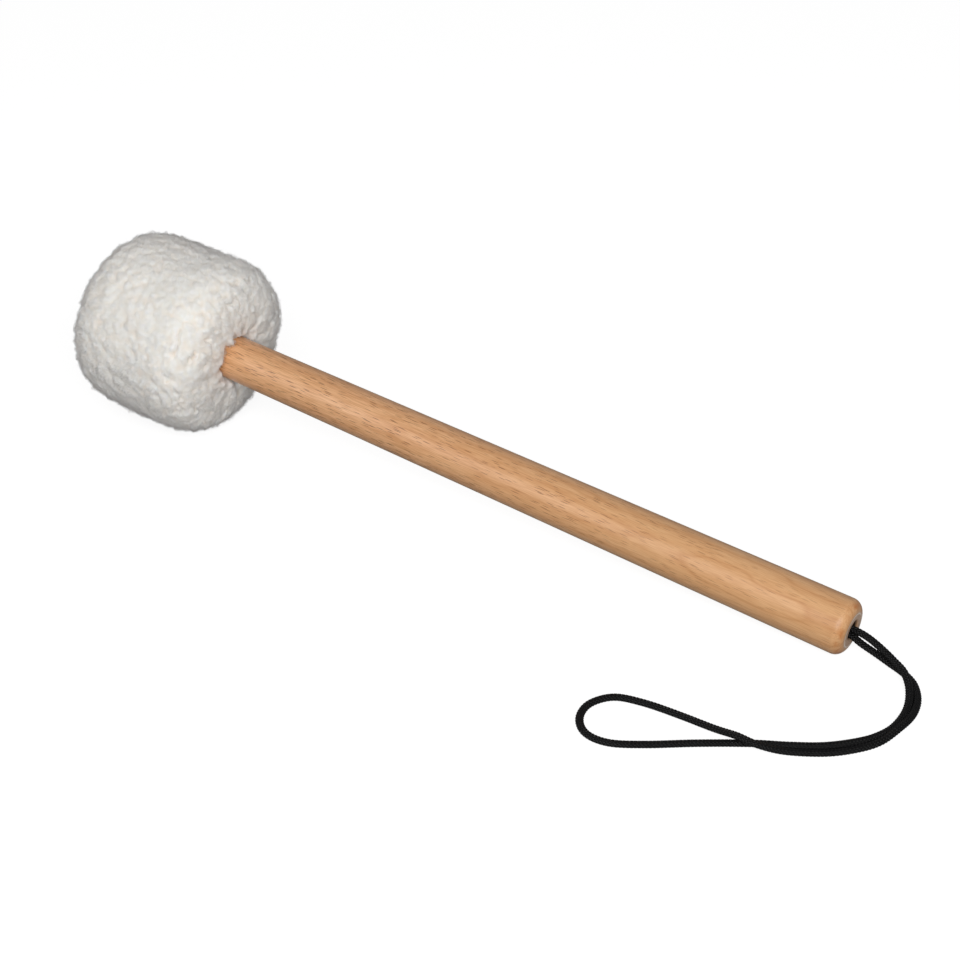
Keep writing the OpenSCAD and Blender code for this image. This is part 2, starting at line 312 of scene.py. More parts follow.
# Raw beech is paler and dull, with fine marks that the lathe tool left round it.
raw_beech, tree, shader = new_material("raw beech", {"Roughness": 0.75, "Specular IOR Level": 0.2})
grain, tone, fleck = beech_grain(tree)
round_it = add_node(
    tree, "ShaderNodeVectorMath", {0: grain, 1: (1 / tool_mark_w, 1 / tool_mark_len, 1 / tool_mark_len)},
    operation="MULTIPLY")
tool_marks = add_node(tree, "ShaderNodeTexNoise", {"Vector": round_it, "Scale": 1.0})
tone = layered(tree, tone, (linear("e9cfb2"), (tool_marks,)))
surface(tree, shader, tone, tool_marks, 0.3, 0.1 * MM)
refinished("head_core", raw_beech)

# Core screw and washer
# One zinc-plated wood screw with a washer under its head, driven through the core into the tenon.
# It keeps the head from flying off if the glue ever lets go.
zinc_cloud = 3 * MM

# Zinc plating is bright but a little cloudy, bluish in some places and yellowish in others.
zinc, tree, shader = new_material("zinc-plated steel", {"Metallic": 1.0})
place = add_node(tree, "ShaderNodeTexCoord", out="Object")
cloud = add_node(tree, "ShaderNodeTexNoise", {"Vector": place, "Scale": 1 / zinc_cloud, "Detail": 3.0})
tone = layered(tree, linear("b9bdc4"), (linear("d6d4c8"), (cloud,)))
dullness = add_node(tree, "ShaderNodeMapRange", {0: cloud, 1: 0.3, 2: 0.7, 3: 0.28, 4: 0.45})
tree.links.new(tone, shader.inputs["Base Color"])
tree.links.new(dullness, shader.inputs["Roughness"])
refinished("core_screw", zinc)
refinished("core_washer", zinc)

# Felt
# Pressed wool felt softens the blow: a strip wound twice round the core, and a disc glued on each end.
# It is cut with a knife, so its edges are square, but they fray a little round.
core_front = 16.1 * MM
felt_in, felt_pitch, felt_t = 24.3 * MM, 3.65 * MM, 3.5 * MM
felt_turn = math.radians(660)
ramp_start, ramp_turn = math.radians(300), math.radians(60)
disc_r, disc_t, disc_gap = 26 * MM, 4.5 * MM, 0.2 * MM
disc_sides, strip_count = 96, 133
tip_hole_r = 7 * MM
fray = 0.7 * MM
felt_hair, felt_mottle = 0.5 * MM, 7 * MM


def frayed(low, high, inner, outer):
    """Outline of a felt layer's section, with its four edges a little round."""
    corners = ((low, inner, 180), (low, outer, 90), (high, outer, 0), (high, inner, -90))
    return [
        (s + fray * (math.cos(math.radians(start - turn)) + (1 if s == low else -1)),
         r + fray * (math.sin(math.radians(start - turn)) + (1 if r == inner else -1)))
        for s, r, start in corners for turn in (0, 30, 60, 90)
    ]


# Felt is matt and mottled grey, with a nap of fine matted hairs.
felt, tree, shader = new_material("pressed wool felt", {"Roughness": 0.95, "Specular IOR Level": 0.1})
place = add_node(tree, "ShaderNodeTexCoord", out="Object")
hairs = add_node(
    tree, "ShaderNodeTexNoise", {"Vector": place, "Scale": 1 / felt_hair, "Detail": 4.0, "Distortion": 1.5})
mottle = add_node(tree, "ShaderNodeTexNoise", {"Vector": place, "Scale": 1 / felt_mottle})
tone = layered(
    tree, linear("aaa294"), (linear("c6c0b2"), (mottle,)), (linear("d9d4c8"), (hairs, 0.4, 0.65)))
surface(tree, shader, tone, hairs, 0.6, 0.2 * MM)

strip_edge = np.array(frayed(core_front, core_rear, 0, felt_t))
strip_steps = np.linspace(0, felt_turn, strip_count)
ramp = np.clip((strip_steps % TURN - ramp_start) / ramp_turn, 0, 1)
strip_r = felt_in + felt_pitch * (np.floor(strip_steps / TURN) + ramp * ramp * (3 - 2 * ramp))
strip_points = [
    (s, (low + r) * math.sin(a), -(low + r) * math.cos(a))
    for a, low in zip(strip_steps, strip_r) for s, r in strip_edge
]
edge_count = len(strip_edge)
strip_faces = [
    (i * edge_count + k, i * edge_count + (k + 1) % edge_count,
     (i + 1) * edge_count + (k + 1) % edge_count, (i + 1) * edge_count + k)
    for i in range(strip_count - 1) for k in range(edge_count)
]
strip_ends = [tuple(i * edge_count + k for k in range(edge_count)) for i in (0, strip_count - 1)]
strip = piece_of("felt_strip", strip_points, strip_faces + strip_ends)
front_edge = frayed(core_front - disc_gap - disc_t, core_front - disc_gap, tip_hole_r, disc_r)
disc_front = turned("felt_disc_front", front_edge, disc_sides, closed=True)
rear_hole_r = handle_r(core_rear + disc_t) + disc_gap
rear_edge = frayed(core_rear + disc_gap, core_rear + disc_gap + disc_t, rear_hole_r, disc_r)
disc_rear = turned("felt_disc_rear", rear_edge, disc_sides, closed=True)
for layer, node in ((strip, "felt_wrap"), (disc_front, "felt_front_disc"), (disc_rear, "felt_rear_ring")):
    layer.data.materials.append(felt)
    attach(layer, "root")
    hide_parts(node)

# Wadding
# A soft layer of white polyester fibre, laid over the felt and pressed round by the tight cover.
# It fills the corners of the head, so its outside is a rounded barrel with small dents.
head_r = 42.95 * MM
head_square, barrel_steps = 4.3, 4000
fleece_t = 7 * MM
wadding_skin = fleece_t + disc_gap
wadding_neck_r = 14.25 * MM
felt_hole, disc_hole = 31.75 * MM, 26.2 * MM
disc_step = 2 * disc_gap + disc_t
dent_w, dent_depth = 6 * MM, 0.5 * MM
wadding_step, wadding_sides = 2 * MM, 144
strand_w = 1.5 * MM


def barrel(inset, tip_opening, neck_opening):
    """Rounded outline of the head, set in from its outside, without what lies inside its two openings."""
    t = np.linspace(0, math.pi, barrel_steps)
    half = head_len / 2 - inset
    s = inset + half * (1 - np.sign(np.cos(t)) * np.abs(np.cos(t)) ** (2 / head_square))
    r = (head_r - inset) * np.abs(np.sin(t)) ** (2 / head_square)
    kept = np.where(s < head_len / 2, r >= tip_opening, r >= neck_opening)
    return np.stack([s, r], 1)[kept]


def spaced(outline, step):
    """The same outline with points about one step apart."""
    run = np.concatenate([[0], np.cumsum(np.linalg.norm(np.diff(outline, axis=0), axis=1))])
    stops = np.linspace(0, run[-1], round(run[-1] / step) + 1)
    return np.stack([np.interp(stops, run, outline[:, n]) for n in (0, 1)], 1)


def eased(low, high, x):
    """Smooth step from 0 at low to 1 at high."""
    u = np.clip((np.asarray(x, float) - low) / (high - low), 0, 1)
    return u * u * (3 - 2 * u)


def dented(s, r, angle):
    """Small dents that sink in from the outside."""
    rows = len(wadding_outside)
    places = np.stack([s, r * np.sin(angle), r * np.cos(angle)], -1)[:rows]
    depth = dent_depth * np.array([[abs(noise.noise(Vector(p) / dent_w)) for p in row] for row in places])
    r = r.copy()
    r[:rows] -= depth * eased(wadding_neck_r, head_r / 2, r[:rows])
    return s, r, {}


wadding_outside = spaced(barrel(wadding_skin, tip_hole_r, wadding_neck_r), wadding_step)
wadding = turned("fibre_wadding", [
    *wadding_outside,
    (head_len - wadding_skin, wadding_neck_r), (core_rear + disc_step, wadding_neck_r),
    (core_rear + disc_step, disc_hole), (core_rear + disc_gap, disc_hole),
    (core_rear + disc_gap, felt_hole), (core_front - disc_gap, felt_hole),
    (core_front - disc_gap, disc_hole), (core_front - disc_step, disc_hole),
    (core_front - disc_step, tip_hole_r), (wadding_skin, tip_hole_r),
], wadding_sides, closed=True, reshape=dented)

# Loose fibre is white and dull, with strands that show as faint streaks.
batting, tree, shader = new_material("polyester wadding", {"Roughness": 0.9})
place = add_node(tree, "ShaderNodeTexCoord", out="Object")
strands = add_node(
    tree, "ShaderNodeTexNoise", {"Vector": place, "Scale": 1 / strand_w, "Detail": 5.0, "Distortion": 2.5})
tone = layered(tree, linear("d8d6d0"), (linear("f1f0ec"), (strands, 0.35, 0.65)))
surface(tree, shader, tone, strands, 0.7, 0.4 * MM)
wadding.data.materials.append(batting)
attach(wadding, "root")
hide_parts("wadding")

# Fleece cover
# A bag of short curly wool fleece on a knitted backing, pulled over the wadding with the pile outside.
# Threads gather its far end inside the head and draw its hem in around the handle, in a soft funnel.
pile_room = 1.8 * MM
pucker_r, pucker_depth = 9 * MM, 2.5 * MM
funnel_r, funnel_depth = 17 * MM, 6 * MM
collar_in, collar_r = 10.45 * MM, 12.45 * MM
collar_end = 65 * MM
tip_r, tip_len = 3.6 * MM, 8.5 * MM
cover_sides, cover_step, lining_step = 400, 0.66 * MM, 15 * MM
lump_w, lump_h, calm_rim = 6 * MM, 1.1 * MM, 3 * MM
least_curl, crease_curl = 0.55, 0.5
fold_depth, neck_folds, tip_folds = 0.6 * MM, 13, 11
neck_fan, tip_fan = (16 * MM, 18 * MM, 37 * MM), (5 * MM, 9 * MM, 28 * MM)
tongue, tongues, tongue_r, tongue_run = 1.8 * MM, 11, 12 * MM, 3 * MM
bulge, bulge_at, bulge_w = 2.0 * MM, math.radians(62), math.radians(85)
bulge_start, bulge_full, bulge_r = 40 * MM, 66 * MM, 26 * MM
# A crease is its start and end along the head in millimetres, and round it in degrees. The same set comes
# three times round the shoulder.
crease_depth, crease_w, crease_wave, crease_steps = 2 * MM, 0.8 * MM, 0.5, 40
crease_sets = (0, 118, 243)
creases = [
    (63, 65, -47, -68), (71, 70, -58, -69), (62, 64, -79, -86), (67, 69, -91, -101), (68, 67, -104, -117),
    (72, 71, -111, -131), (72, 73, -44, -48), (58, 60, -97, -106),
]


def stuffed(s, r, angle):
    """Lumps from the stuffing, gathers that fan out from each thread, and creases at the shoulder."""
    rows = len(pile_line)
    run_s, run_r = np.gradient(s[:rows, :1], axis=0), np.gradient(r[:rows, :1], axis=0)
    run = np.hypot(run_s, run_r)
    places = np.stack([s, r * np.sin(angle), r * np.cos(angle)], -1)[:rows]
    rear = pile_line[pile_line[:, 0] > bulge_start]
    rear = rear[np.argsort(rear[:, 0])]
    marks = []
    for turn in crease_sets:
        for start_s, end_s, start_turn, end_turn in creases:
            for u in np.linspace(0, 1, crease_steps):
                a = math.radians(start_turn + (end_turn - start_turn) * u + turn)
                along = (start_s + (end_s - start_s) * u + crease_wave * math.sin(9 * u + start_turn)) * MM
                out = np.interp(along, rear[:, 0], rear[:, 1])
                place = Vector((along, out * math.sin(a), out * math.cos(a)))
                marks.append((place, math.sin(math.pi * u) ** 0.5))
    near_mark = kdtree.KDTree(len(marks))
    for n, (place, _) in enumerate(marks):
        near_mark.insert(place, n)
    near_mark.balance()
    lump = np.empty(places.shape[:2])
    crease = np.empty(places.shape[:2])
    for row in range(rows):
        for n, place in enumerate(places[row]):
            _, nearest, away = near_mark.find(place)
            crease[row, n] = math.exp(-(away / crease_w) ** 2) * marks[nearest][1]
            lump[row, n] = 1 - min(noise.voronoi(Vector(place) / lump_w)[0][0], 1) ** 2
    curl_size = np.zeros(s.shape)
    curl_size[:rows] = (least_curl + (1 - least_curl) * lump) * (1 - crease_curl * crease)
    at_rear = s > head_len / 2
    neck = eased(collar_in, neck_fan[0], r) * (1 - eased(neck_fan[1], neck_fan[2], r))
    tip = eased(0, tip_fan[0], r) * (1 - eased(tip_fan[1], tip_fan[2], r))
    neck_wave = np.cos(neck_folds * angle + 1.2 * np.sin(2 * angle + 0.6) + 0.8 * np.sin(5 * angle))
    tip_wave = np.cos(tip_folds * angle + 0.9 * np.sin(3 * angle))
    folds = np.where(at_rear, neck * neck_wave, tip * tip_wave)[:rows]
    height = lump_h * (lump - 0.5) - crease_depth * crease
    height = height * eased(0, calm_rim, (r - np.where(at_rear, collar_in, 0))[:rows])
    height += fold_depth * (folds - np.abs(folds)) / 2
    off_bulge = np.abs((angle[:rows] - bulge_at + math.pi) % TURN - math.pi)
    bulging = eased(bulge_start, bulge_full, s[:rows]) * eased(collar_in, bulge_r, r[:rows])
    height += bulge * (1 - eased(0, bulge_w, off_bulge)) * bulging
    near_wood = np.where(at_rear, 1 - eased(tongue_r, funnel_r, r), 0)
    near_wood = near_wood * eased(collar_end, collar_end + tongue_run, s)
    s, r = s.copy(), r.copy()
    s += tongue * near_wood * np.cos(tongues * angle + 1.6 * np.sin(3 * angle))
    s[:rows] -= height * run_r / run
    r[:rows] += height * run_s / run
    return s, r, {"curl_size": curl_size}


pile_line = barrel(pile_room, 0, collar_in)
lip = np.clip((funnel_r - pile_line[:, 1]) / (funnel_r - collar_in), 0, 1)
pile_line[:, 0] += np.where(
    pile_line[:, 0] > head_len / 2,
    -funnel_depth * (1 - np.sqrt(1 - lip ** 2)),
    pucker_depth * (1 - eased(0, pucker_r, pile_line[:, 1])),
)
pile_line = spaced(pile_line, cover_step)
cover_line = np.concatenate([
    pile_line,
    [(collar_end, collar_in), (collar_end, collar_r), (head_len - fleece_t, collar_r)],
    spaced(barrel(fleece_t, tip_r, collar_r)[::-1], lining_step),
    [(fleece_t, tip_r), (fleece_t + tip_len, tip_r), (fleece_t + tip_len, 0)],
])
lining_rows = len(cover_line) - len(pile_line)
backing = turned(
    "fleece_backing", cover_line, cover_sides, reshape=stuffed,
    pile=[*[1] * len(pile_line), *[0] * lining_rows])

# Curly wool is a warm white. Its fibres pass light on to each other, so hollows between the tufts stay
# pale.
# Its colour is painted a little darker and creamier low in the hollows between tufts and at the roots of
# the curls, as painted shade.
wool, tree, shader = new_material("curly wool fleece", {
    "Roughness": 0.9, "Specular IOR Level": 0.1, "Subsurface Weight": 1.0,
    "Subsurface Radius": (1.0, 0.95, 0.9), "Subsurface Scale": 4.5 * MM,
    "Sheen Weight": 0.5, "Sheen Roughness": 0.5})
rise = add_node(tree, "ShaderNodeAttribute", out="Fac", attribute_name="rise")
tone = layered(tree, linear("f5eee6"), (linear("fff9f4"), (rise,)))
tree.links.new(tone, shader.inputs["Base Color"])


def new_tree(name, numbers):
    """A Geometry Nodes tree with named numbers and a material as inputs, and its inputs' sockets."""
    tree = bpy.data.node_groups.new(name, "GeometryNodeTree")
    tree.interface.new_socket("Geometry", in_out="OUTPUT", socket_type="NodeSocketGeometry")
    kinds = {"Geometry": "NodeSocketGeometry", "Material": "NodeSocketMaterial", "Seed": "NodeSocketInt"}
    for socket in ("Geometry", "Material", *numbers):
        kind = kinds.get(socket, "NodeSocketFloat")
        tree.interface.new_socket(socket, in_out="INPUT", socket_type=kind)
    return tree, tree.nodes.new("NodeGroupInput").outputs


def end_tree(tree, given, shape):
    """Ends a tree in real faces, smooth, in the given material."""
    whole = add_node(tree, "GeometryNodeRealizeInstances", {0: shape})
    smooth = add_node(tree, "GeometryNodeSetShadeSmooth", {0: whole})
    painted = add_node(tree, "GeometryNodeSetMaterial", {0: smooth, "Material": given["Material"]})
    tree.links.new(painted, tree.nodes.new("NodeGroupOutput").inputs[0])


def grown(name, source, tree, values):
    """A plain mesh piece made by a Geometry Nodes tree on a source object, with its inputs set by name."""
    maker = source.modifiers.new(name, "NODES")
    maker.node_group = tree
    for item in tree.interface.items_tree:
        if item.in_out == "INPUT" and item.name in values:
            maker[item.identifier] = values[item.name]
    shown = source.evaluated_get(bpy.context.evaluated_depsgraph_get())
    mesh = bpy.data.meshes.new_from_object(shown)
    mesh.name = name
    source.modifiers.remove(maker)
    piece = bpy.data.objects.new(name, mesh)
    bpy.context.scene.collection.objects.link(piece)
    return piece


# The pile stands in soft tufts, some taller than others, that press against each other.
puff_w, puff_h, puff_warp = 3.0 * MM, 0.7 * MM, 1.5 * MM
puffs, given = new_tree("wool_tufts", ("Width", "Height", "Unevenness"))
place = add_node(puffs, "GeometryNodeInputPosition")
fine = add_node(puffs, "ShaderNodeMath", {0: 1.0, 1: given["Width"]}, operation="DIVIDE")
warp = add_node(puffs, "ShaderNodeTexNoise", {"Vector": place, "Scale": fine, "Detail": 1.0}, out="Color")
warp = add_node(puffs, "ShaderNodeVectorMath", {0: warp, 1: (0.5, 0.5, 0.5)}, operation="SUBTRACT")
warp = add_node(puffs, "ShaderNodeVectorMath", {0: warp, "Scale": given["Unevenness"]}, operation="SCALE")
warped = add_node(puffs, "ShaderNodeVectorMath", {0: place, 1: warp}, operation="ADD")
cells = add_node(
    puffs, "ShaderNodeTexVoronoi", {"Vector": warped, "Scale": fine, "Smoothness": 0.25},
    feature="SMOOTH_F1").node.outputs
edge = add_node(puffs, "ShaderNodeMapRange", {0: cells["Distance"], 1: 0.0, 2: 0.8})
hollow = add_node(puffs, "ShaderNodeMath", {0: edge, 1: 2.0}, operation="POWER")
dome = add_node(puffs, "ShaderNodeMath", {0: 1.0, 1: hollow}, operation="SUBTRACT")
reach = add_node(puffs, "ShaderNodeMath", {0: dome, 1: -0.5}, operation="ADD")
pile_share = add_node(puffs, "GeometryNodeInputNamedAttribute", {"Name": "pile"}, data_type="FLOAT")
own_number = add_node(puffs, "ShaderNodeSeparateXYZ", {0: cells["Color"]})
own_height = add_node(puffs, "ShaderNodeMapRange", {0: own_number, 3: 0.5, 4: 1.5})
for factor in (given["Height"], pile_share, own_height):
    reach = add_node(puffs, "ShaderNodeMath", {0: reach, 1: factor}, operation="MULTIPLY")
gather = add_node(puffs, "ShaderNodeVectorMath", {0: cells["Position"], 1: warped}, operation="SUBTRACT")
gather = add_node(puffs, "ShaderNodeVectorMath", {0: gather, "Scale": fine}, operation="SCALE")
shape = given["Geometry"]
# Rise is 0 in the hollows between tufts and 1 on their tops. The wool's colour is painted darker where it
# is low, as painted shade.
for name, kind, value in (("rise", "FLOAT", dome), ("gather", "FLOAT_VECTOR", gather)):
    shape = add_node(
        puffs, "GeometryNodeStoreNamedAttribute", {0: shape, "Name": name, "Value": value},
        data_type=kind, domain="POINT")
outward = add_node(puffs, "GeometryNodeInputNormal")
push = add_node(puffs, "ShaderNodeVectorMath", {0: outward, "Scale": reach}, operation="SCALE")
end_tree(puffs, given, add_node(puffs, "GeometryNodeSetPosition", {0: shape, "Offset": push}))
cover = grown("fleece_pile_cover", backing, puffs, {
    "Width": puff_w, "Height": puff_h, "Unevenness": puff_warp, "Material": wool})
bpy.data.objects.remove(backing)

# Fine curls of wool stand all over the tufts and bend over at their tips, in three shapes. They lean to the
# middle of their tuft, are shorter in the hollows between tufts, and are as coarse as they need to show.
# A shape is its tip's reach, its sway aside, its bend's height and its tip's height, in millimetres.
curl_gap, curl_density = 0.56 * MM, 8.0e6
curl_root, curl_r, curl_taper = 0.4 * MM, 0.09 * MM, 0.6
curl_gather, curl_lean = 0.8, math.radians(30)
curl_shapes = [(0.9, 0.3, 2.4, 1.1), (1.2, -0.3, 2.1, 0.9), (0.7, 0.4, 2.8, 1.5)]
curl_steps, curl_sides = 4, 3
scatter_seed, swing_seed, size_seed, shape_seed = 11, 5, 7, 9
sectors = 8
pile, given = new_tree("curly_pile", (
    "Gap", "Root", "Thickness", "Gather", "Lean", "Sector", "Sectors", "Middle height", "Seed"))
pile_share = add_node(pile, "GeometryNodeInputNamedAttribute", {"Name": "pile"}, data_type="FLOAT")
scatter = add_node(
    pile, "GeometryNodeDistributePointsOnFaces",
    {"Mesh": given["Geometry"], "Distance Min": given["Gap"], "Density Max": curl_density,
     "Density Factor": pile_share, "Seed": given["Seed"]},
    distribute_method="POISSON").node.outputs
place = add_node(pile, "GeometryNodeInputPosition")
spot = add_node(pile, "ShaderNodeSeparateXYZ", {0: place}).node.outputs
above = add_node(pile, "ShaderNodeMath", {0: spot[2], 1: given["Middle height"]}, operation="SUBTRACT")
way = add_node(pile, "ShaderNodeMath", {0: spot[1], 1: above}, operation="ARCTAN2")
way_share = add_node(pile, "ShaderNodeMath", {0: way, 1: 1 / TURN, 2: 0.5}, operation="MULTIPLY_ADD")
count = add_node(pile, "ShaderNodeMath", {0: way_share, 1: given["Sectors"]}, operation="MULTIPLY")
own_sector = add_node(pile, "ShaderNodeMath", {0: count}, operation="FLOOR")
chosen = add_node(pile, "ShaderNodeMath", {0: own_sector, 1: given["Sector"], 2: 0.1}, operation="COMPARE")
below = add_node(pile, "ShaderNodeMath", {0: given["Root"], 1: -1.0}, operation="MULTIPLY")
root = add_node(pile, "ShaderNodeCombineXYZ", {2: below})
round_line = add_node(pile, "GeometryNodeCurvePrimitiveCircle", {"Resolution": curl_sides, "Radius": 1.0})
curl_set = add_node(pile, "GeometryNodeJoinGeometry")
for reach, side, top, end in curl_shapes:
    curl = add_node(
        pile, "GeometryNodeCurveQuadraticBezier",
        {"Resolution": curl_steps, "Start": (0, 0, 0), "Middle": (0, side * MM, top * MM),
         "End": (reach * MM, -side * MM, end * MM)})
    # Rise runs from 0 at a curl's root to 1 at its tip. The wool's colour is painted darker at the root, as
    # painted shade.
    factor = add_node(pile, "GeometryNodeSplineParameter")
    curl = add_node(
        pile, "GeometryNodeStoreNamedAttribute", {0: curl, "Name": "rise", "Value": factor},
        data_type="FLOAT", domain="POINT")
    taper = add_node(pile, "ShaderNodeMath", {0: factor, 1: -curl_taper, 2: 1.0}, operation="MULTIPLY_ADD")
    thick = add_node(pile, "ShaderNodeMath", {0: taper, 1: given["Thickness"]}, operation="MULTIPLY")
    lock = add_node(
        pile, "GeometryNodeCurveToMesh",
        {"Curve": curl, "Profile Curve": round_line, "Scale": thick, "Fill Caps": True})
    lock = add_node(pile, "GeometryNodeTransform", {0: lock, "Translation": root})
    pile.links.new(add_node(pile, "GeometryNodeGeometryToInstance", {0: lock}), curl_set.node.inputs[0])
most = add_node(pile, "ShaderNodeCombineXYZ", {0: given["Lean"], 1: given["Lean"], 2: TURN})
least = add_node(pile, "ShaderNodeVectorMath", {0: most, 1: (-1, -1, 0)}, operation="MULTIPLY")
swing = add_node(
    pile, "FunctionNodeRandomValue", {0: least, 1: most, 8: swing_seed}, data_type="FLOAT_VECTOR")
swing = add_node(pile, "FunctionNodeEulerToRotation", {0: swing})
gather = add_node(pile, "GeometryNodeInputNamedAttribute", {"Name": "gather"}, data_type="FLOAT_VECTOR")
gather = add_node(pile, "ShaderNodeVectorMath", {0: gather, "Scale": given["Gather"]}, operation="SCALE")
aim = add_node(pile, "ShaderNodeVectorMath", {0: gather, 1: scatter["Normal"]}, operation="ADD")
aimed = add_node(
    pile, "FunctionNodeAlignRotationToVector", {"Rotation": scatter["Rotation"], "Vector": aim}, axis="Z")
stand = add_node(pile, "FunctionNodeRotateRotation", {0: aimed, 1: swing}, rotation_space="LOCAL")
tuft_rise = add_node(pile, "GeometryNodeInputNamedAttribute", {"Name": "rise"}, data_type="FLOAT")
tuft_share = add_node(pile, "ShaderNodeMapRange", {0: tuft_rise, 1: 0.2, 2: 1.0, 3: 0.65, 4: 1.1})
own_share = add_node(
    pile, "FunctionNodeRandomValue", {2: 0.7, 3: 1.15, 8: size_seed}, out=1, data_type="FLOAT")
grow = add_node(pile, "GeometryNodeInputNamedAttribute", {"Name": "curl_size"}, data_type="FLOAT")
for factor in (own_share, tuft_share):
    grow = add_node(pile, "ShaderNodeMath", {0: grow, 1: factor}, operation="MULTIPLY")
own_shape = add_node(
    pile, "FunctionNodeRandomValue", {4: 0, 5: len(curl_shapes) - 1, 8: shape_seed}, out=2, data_type="INT")
end_tree(pile, given, add_node(
    pile, "GeometryNodeInstanceOnPoints",
    {"Points": scatter["Points"], "Selection": chosen, "Instance": curl_set, "Pick Instance": True,
     "Instance Index": own_shape, "Rotation": stand, "Scale": grow}))
wood_gap = 0.1 * MM


def clear_of_wood_and_table(piece):
    """Moves what would reach into the handle out to its wood, and what would reach into the table up."""
    places = np.empty(len(piece.data.vertices) * 3)
    piece.data.vertices.foreach_get("co", places)
    to_local = np.array([axis, sideways, upward])
    local = (places.reshape(-1, 3) - np.array(head_tip)) @ to_local.T
    radius = np.maximum(np.hypot(local[:, 1], local[:, 2]), 1e-6)
    wood = np.where(local[:, 0] > core_rear, handle_r(local[:, 0]) + wood_gap, 0)
    local[:, 1:] *= np.maximum(wood / radius, 1)[:, None]
    places = local @ to_local + np.array(head_tip)
    places[:, 2] = np.maximum(places[:, 2], 0)
    piece.data.vertices.foreach_set("co", places.ravel())
    piece.data.update()


for sector in range(sectors):
    curls = grown(f"fleece_curls_{sector + 1}", cover, pile, {
        "Gap": curl_gap, "Root": curl_root, "Thickness": curl_r, "Gather": curl_gather, "Lean": curl_lean,
        "Sector": float(sector), "Sectors": float(sectors), "Middle height": middle("head_core").z,
        "Seed": scatter_seed, "Material": wool,
    })
    clear_of_wood_and_table(curls)
    curls.parent = cover
clear_of_wood_and_table(cover)
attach(cover, "root")
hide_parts("fleece_cover")

# Gathering threads
# Braided sewing thread, waxed so that it grips, wound round the fleece and knotted under its last turn.
# One holds the bag's far end shut inside the head, the other draws its hem tight round the handle.
thread_d, thread_gap = 1.2 * MM, 0.08 * MM
thread_pitch = thread_d + thread_gap
tip_turns, neck_turns, turn_steps = 3, 2, 36
thread_braid = {
    "Lay": 4 * MM, "Wide": thread_d, "Thick": thread_d, "Strand wide": 0.55 * MM, "Strand thick": 0.22 * MM,
    "Lift": 0.06 * MM, "Step": 0.35 * MM, "Carriers": 4.0,
}


def guide_curve(name, points):
    """A curve object through points, for a tree to build along."""
    curve = bpy.data.curves.new(name, "CURVE")
    curve.dimensions = "3D"
    line = curve.splines.new("POLY")
    line.points.add(len(points) - 1)
    for point, place in zip(line.points, points):
        point.co = (*place, 1)
    guide = bpy.data.objects.new(name, curve)
    bpy.context.scene.collection.objects.link(guide)
    return guide


def filament(name, roughness, dark, light, shine):
    """A material for braid: fine threads side by side in each bundle, few enough to show, in two tones."""
    filaments = 5
    material, tree, shader = new_material(name, {"Roughness": roughness, "Specular IOR Level": shine})
    across = add_node(tree, "ShaderNodeAttribute", out="Fac", attribute_name="across")
    turn = add_node(tree, "ShaderNodeMath", {0: across, 1: TURN * filaments}, operation="MULTIPLY")
    wave = add_node(tree, "ShaderNodeMath", {0: turn}, operation="SINE")
    ridges = add_node(tree, "ShaderNodeMapRange", {0: wave, 1: -1.0, 2: 1.0})
    tone = layered(tree, linear(dark), (linear(light), (ridges,)))
    surface(tree, shader, tone, ridges, 0.4, 0.05 * MM)
    return material


# Each bundle runs round the cord in one direction, and is out where the other direction's bundles are in.
# A plain core fills the middle, a little thinner than the braid.
strand_sides, core_sides, core_r, core_steps = 4, 8, 0.34, 480
braid, given = new_tree("braid", (
    "Lay", "Wide", "Thick", "Strand wide", "Strand thick", "Lift", "Step", "Carriers"))
even = add_node(
    braid, "GeometryNodeResampleCurve", {0: given["Geometry"], "Length": given["Step"]}, mode="LENGTH")
laid = add_node(braid, "GeometryNodeSetCurveNormal", {"Curve": even}, mode="Z_UP")
flat_way = add_node(braid, "GeometryNodeInputNormal")
tangent = add_node(braid, "GeometryNodeInputTangent")
thick_way = add_node(braid, "ShaderNodeVectorMath", {0: tangent, 1: flat_way}, operation="CROSS_PRODUCT")
run = add_node(braid, "GeometryNodeSplineParameter", out="Length")
facts = [
    ("run", "FLOAT", run), ("flat_way", "FLOAT_VECTOR", flat_way), ("thick_way", "FLOAT_VECTOR", thick_way)]
kept = laid
for name, kind, value in facts:
    kept = add_node(
        braid, "GeometryNodeStoreNamedAttribute", {0: kept, "Name": name, "Value": value},
        data_type=kind, domain="POINT")
both = add_node(braid, "ShaderNodeMath", {0: given["Carriers"], 1: 2.0}, operation="MULTIPLY")
copies = add_node(
    braid, "GeometryNodeDuplicateElements", {0: kept, "Amount": both}, domain="SPLINE").node.outputs
bundles = add_node(
    braid, "GeometryNodeStoreNamedAttribute",
    {0: copies["Geometry"], "Name": "carrier", "Value": copies["Duplicate Index"]},
    data_type="FLOAT", domain="CURVE")
carrier = add_node(braid, "GeometryNodeInputNamedAttribute", {"Name": "carrier"}, data_type="FLOAT")
run, flat_way, thick_way = (
    add_node(braid, "GeometryNodeInputNamedAttribute", {"Name": name}, data_type=kind)
    for name, kind, _ in facts
)
first_way = add_node(braid, "ShaderNodeMath", {0: carrier, 1: given["Carriers"]}, operation="LESS_THAN")
hand = add_node(braid, "ShaderNodeMath", {0: first_way, 1: 2.0, 2: -1.0}, operation="MULTIPLY_ADD")
turns = add_node(braid, "ShaderNodeMath", {0: run, 1: given["Lay"]}, operation="DIVIDE")
handed = add_node(braid, "ShaderNodeMath", {0: turns, 1: hand}, operation="MULTIPLY")
own_start = add_node(braid, "ShaderNodeMath", {0: carrier, 1: given["Carriers"]}, operation="DIVIDE")
turned_by = add_node(braid, "ShaderNodeMath", {0: handed, 1: own_start}, operation="ADD")
angle = add_node(braid, "ShaderNodeMath", {0: turned_by, 1: TURN}, operation="MULTIPLY")
